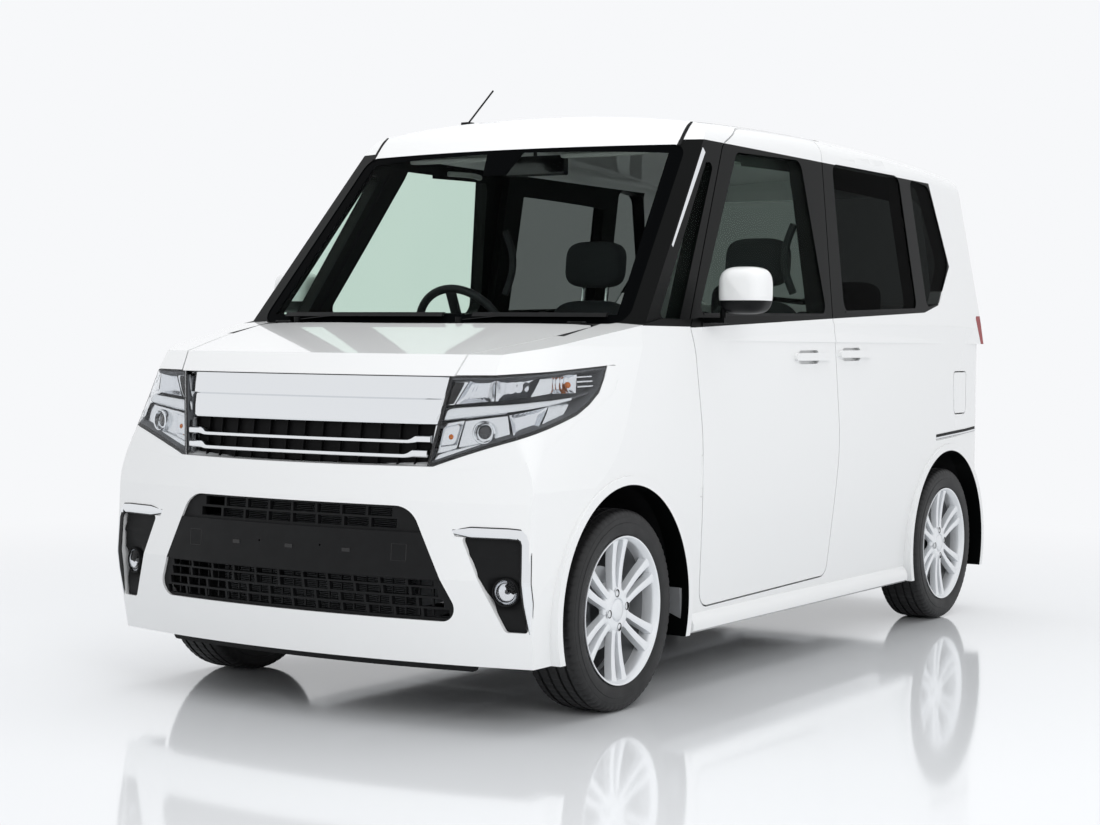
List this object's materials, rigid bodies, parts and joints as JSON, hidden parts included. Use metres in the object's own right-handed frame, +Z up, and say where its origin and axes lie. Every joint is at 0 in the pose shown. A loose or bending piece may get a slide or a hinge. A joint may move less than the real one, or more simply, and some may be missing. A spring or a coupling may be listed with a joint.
{
  "type": "kei car",
  "caption": "Boxy small passenger car with hinged front doors, sliding rear doors, bonnet and tailgate, on steered front wheels.",
  "frame": {"origin": "on the floor, under the middle of the overall length and width", "axes": "+X to the car's left, +Y to its rear, +Z up; the front faces -Y"},
  "size_m": [1.8252, 3.395, 1.8578],
  "materials": {
    "white_paint": "gloss white paint",
    "glass": "tinted glass",
    "lens": "clear lamp lens",
    "red_lens": "red lamp lens",
    "tyre": "black rubber",
    "alloy": "silver painted cast alloy",
    "steel": "black chassis paint",
    "cast": "cast metal",
    "bright_trim": "bright trim",
    "black_plastic": "grained black plastic",
    "fabric": "dark seat cloth",
    "aluminium": "finned aluminium"
  },
  "bodies": {
    "body": {"antenna": "black_plastic", "arch_liners": "black_plastic", "body_rails": "steel", "cowl": "black_plastic", "dashboard": "black_plastic", "engine": "cast", "exhaust": "steel", "fenders": "white_paint", "fixed_glass": "glass", "floor_pan": "steel", "fog_lamps": "lens", "front_bumper": "white_paint", "front_lip": "black_plastic", "front_seats": "fabric", "front_struts": "steel", "front_subframe": "steel", "fuel_tank": "black_plastic", "headlamps": "lens", "inside_mirror": "black_plastic", "lower_grille": "black_plastic", "radiator": "aluminium", "rear_axle": "steel", "rear_bumper": "white_paint", "rear_seat": "fabric", "rear_springs": "steel", "roof": "white_paint", "side_left": "white_paint", "side_right": "white_paint", "slide_door_glass": "glass", "slide_door_left": "white_paint", "slide_door_right": "white_paint", "steering_column": "black_plastic", "tail_lamps": "red_lens", "upper_grille": "bright_trim", "windscreen": "glass", "wipers": "black_plastic"},
    "wheel_front_left": {"tyre_front_left": "tyre", "rim_front_left": "alloy"},
    "wheel_front_right": {"tyre_front_right": "tyre", "rim_front_right": "alloy"},
    "wheel_rear_left": {"tyre_rear_left": "tyre", "rim_rear_left": "alloy"},
    "wheel_rear_right": {"tyre_rear_right": "tyre", "rim_rear_right": "alloy"},
    "steering_left": {"knuckle_left": "cast"},
    "steering_right": {"knuckle_right": "cast"},
    "front_door_left": {"door_left": "white_paint", "door_glass_left": "glass"},
    "front_door_right": {"door_right": "white_paint", "door_glass_right": "glass"},
    "mirror_left": {"mirror_left": "white_paint"},
    "mirror_right": {"mirror_right": "white_paint"},
    "tailgate": {"tailgate": "white_paint", "tailgate_glass": "glass"},
    "bonnet": {"bonnet": "white_paint"},
    "fuel_flap": {"fuel_lid": "white_paint"},
    "steering_wheel": {"steering_wheel": "black_plastic"}
  },
  "joints": [
    {"name": "steer_left", "type": "hinge", "parent": "body", "child": "steering_left", "pos_m": [0.565, -1.1225, 0.281], "axis": [-0.1736, 0, 0.9848], "range_deg": [-35, 35]},
    {"name": "steer_right", "type": "hinge", "parent": "body", "child": "steering_right", "pos_m": [-0.565, -1.1225, 0.281], "axis": [0.1736, 0, 0.9848], "range_deg": [-35, 35]},
    {"name": "steering_wheel_turn", "type": "hinge", "parent": "body", "child": "steering_wheel", "pos_m": [-0.35, -0.359, 1.037], "axis": [0, 0.9063, 0.4226], "range_deg": [-540, 540]},
    {"name": "spin_front_left", "type": "hinge", "parent": "steering_left", "child": "wheel_front_left", "pos_m": [0.64, -1.1225, 0.281], "axis": [1, 0, 0], "continuous": true},
    {"name": "spin_front_right", "type": "hinge", "parent": "steering_right", "child": "wheel_front_right", "pos_m": [-0.64, -1.1225, 0.281], "axis": [1, 0, 0], "continuous": true},
    {"name": "spin_rear_left", "type": "hinge", "parent": "body", "child": "wheel_rear_left", "pos_m": [0.64, 1.2775, 0.281], "axis": [1, 0, 0], "continuous": true},
    {"name": "spin_rear_right", "type": "hinge", "parent": "body", "child": "wheel_rear_right", "pos_m": [-0.64, 1.2775, 0.281], "axis": [1, 0, 0], "continuous": true},
    {"name": "door_left_hinge", "type": "hinge", "parent": "body", "child": "front_door_left", "pos_m": [0.727, -0.689, 0.632], "axis": [0, 0, -1], "range_deg": [0, 70]},
    {"name": "door_right_hinge", "type": "hinge", "parent": "body", "child": "front_door_right", "pos_m": [-0.727, -0.689, 0.632], "axis": [0, 0, 1], "range_deg": [0, 70]},
    {"name": "mirror_left_fold", "type": "hinge", "parent": "front_door_left", "child": "mirror_left", "pos_m": [0.775, -0.655, 1.11], "axis": [0, 0, 1], "range_deg": [0, 60]},
    {"name": "mirror_right_fold", "type": "hinge", "parent": "front_door_right", "child": "mirror_right", "pos_m": [-0.775, -0.655, 1.11], "axis": [0, 0, -1], "range_deg": [0, 60]},
    {"name": "tailgate_hinge", "type": "hinge", "parent": "body", "child": "tailgate", "pos_m": [0, 1.5025, 1.714], "axis": [1, 0, 0], "range_deg": [0, 80]},
    {"name": "bonnet_hinge", "type": "hinge", "parent": "body", "child": "bonnet", "pos_m": [0, -1.0755, 1.074], "axis": [-1, 0, 0], "range_deg": [0, 55]},
    {"name": "fuel_flap_hinge", "type": "hinge", "parent": "body", "child": "fuel_flap", "pos_m": [0.727, 1.3295, 0.8425], "axis": [0, 0, -1], "range_deg": [0, 85]}
  ],
  "couplings": [
    {"joint": "steer_right", "follows": "steer_left", "ratio": 1},
    {"joint": "steering_wheel_turn", "follows": "steer_left", "ratio": 15.4}
  ]
}
